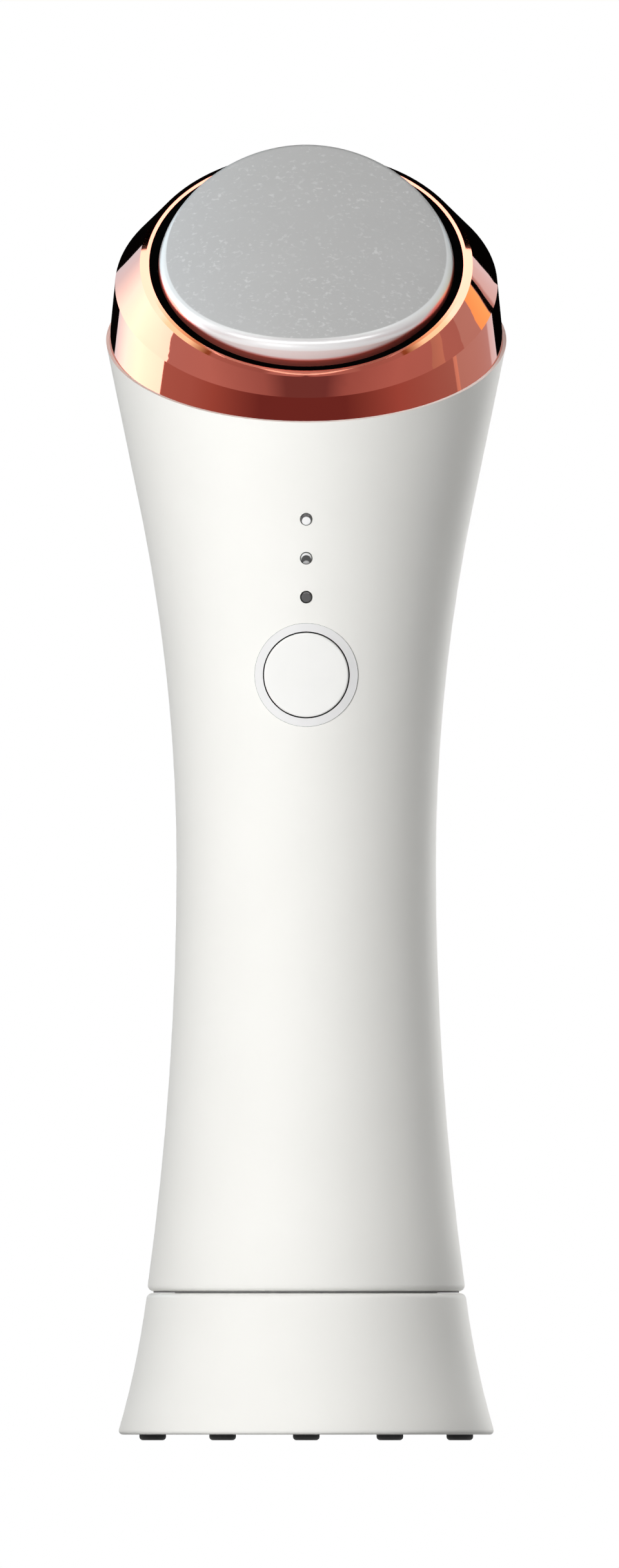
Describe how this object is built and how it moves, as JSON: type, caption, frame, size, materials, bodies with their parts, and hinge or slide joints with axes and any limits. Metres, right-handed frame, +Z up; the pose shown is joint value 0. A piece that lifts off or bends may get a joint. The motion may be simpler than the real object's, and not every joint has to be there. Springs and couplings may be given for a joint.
{
  "type": "hot and cold face massager",
  "caption": "Waisted white hand-held massager with a tilted oval metal plate in a faceted rose-gold ring, a thumb button and indicator lenses, standing on a flared charging stand.",
  "frame": {"origin": "on the handle's axis, in the plane that the stand's feet rest on", "axes": "+Z up along the handle, -Y towards the front with the button, +X to the right as seen from the front"},
  "size_m": [0.0494, 0.05, 0.1598],
  "materials": {
    "white_shell": "satin gloss white moulding",
    "button_white": "satin white moulding",
    "bezel_grey": "cool pale grey moulding",
    "rose_gold": "polished rose-gold metal plating on plastic",
    "plate_aluminium": "fine blasted aluminium",
    "black_plastic": "matt black moulding",
    "black_rubber": "soft black rubber",
    "screw_steel": "zinc plated",
    "bright_steel": "bright steel",
    "board_green": "green circuit board",
    "chip_black": "moulded chip packages",
    "contact_brass": "gold plated brass",
    "sink_aluminium": "extruded aluminium",
    "ceramic_white": "white ceramic faces",
    "pad_grey": "soft grey pad",
    "sensor_black": "epoxy bead",
    "led_white": "light emitting chips",
    "indicator_lens": "smoked clear light pipe",
    "plunger_white": "white switch plunger",
    "battery_wrap": "blue wrapped cell",
    "lead_red": "insulated lead"
  },
  "bodies": {
    "stand": {"stand_shell": "white_shell", "stand_base_plate": "black_plastic", "stand_feet": "black_rubber", "stand_screws": "screw_steel", "charge_board_screws": "screw_steel", "charge_board": "board_green", "usb_inlet": "bright_steel", "usb_tongue": "black_plastic", "pin_barrels": "contact_brass", "pin_spring_left": "screw_steel", "pin_spring_right": "screw_steel"},
    "massager": {"handle_shell": "white_shell", "button_bezel": "bezel_grey", "trim_ring": "rose_gold", "massage_plate": "plate_aluminium", "plate_insulator": "black_plastic", "head_frame": "black_plastic", "bottom_cap": "black_plastic", "chassis": "black_plastic", "switch_housing": "black_plastic", "cap_seal": "black_rubber", "seat_ring": "black_rubber", "sink_screws": "screw_steel", "cap_screws": "screw_steel", "board_screws": "screw_steel", "motor_can": "bright_steel", "motor_strap": "bright_steel", "main_board": "board_green", "board_chips": "chip_black", "charge_contacts": "contact_brass", "battery_tabs": "contact_brass", "heat_sink": "sink_aluminium", "peltier_module": "ceramic_white", "thermal_pad": "pad_grey", "foam_gasket": "pad_grey", "thermistor": "sensor_black", "indicator_leds": "led_white", "light_pipe_high": "indicator_lens", "light_pipe_mid": "indicator_lens", "light_pipe_low": "indicator_lens", "battery_cell": "battery_wrap", "battery_leads": "lead_red", "peltier_leads": "lead_red", "motor_leads": "lead_red", "charge_leads": "lead_red"},
    "spring_pin_left": {"spring_pin_left": "contact_brass"},
    "spring_pin_right": {"spring_pin_right": "contact_brass"},
    "button": {"power_button": "button_white"},
    "switch_plunger": {"switch_plunger": "plunger_white"},
    "motor_rotor": {"motor_shaft": "bright_steel", "eccentric_weight": "bright_steel"}
  },
  "joints": [
    {"name": "massager_lift", "type": "slide", "parent": "stand", "child": "massager", "axis": [0, 0, 1], "range_m": [0, 0.03]},
    {"name": "button_press", "type": "slide", "parent": "massager", "child": "button", "axis": [0, 1, 0], "range_m": [0, 0.0004], "stiffness_N_per_m": 1500, "springref_m": -0.0002},
    {"name": "switch_plunger_press", "type": "slide", "parent": "massager", "child": "switch_plunger", "axis": [0, 1, 0], "range_m": [0, 0.0004]},
    {"name": "motor_spin", "type": "hinge", "parent": "massager", "child": "motor_rotor", "pos_m": [0, 0.0026, 0.098], "axis": [0, 0, 1], "continuous": true},
    {"name": "spring_pin_left_press", "type": "slide", "parent": "stand", "child": "spring_pin_left", "axis": [0, 0, -1], "range_m": [0, 0.0006], "stiffness_N_per_m": 800, "springref_m": -0.0006, "deforming": ["pin_spring_left"]},
    {"name": "spring_pin_right_press", "type": "slide", "parent": "stand", "child": "spring_pin_right", "axis": [0, 0, -1], "range_m": [0, 0.0006], "stiffness_N_per_m": 800, "springref_m": -0.0006, "deforming": ["pin_spring_right"]}
  ],
  "couplings": [
    {"joint": "switch_plunger_press", "follows": "button_press", "ratio": 1}
  ]
}
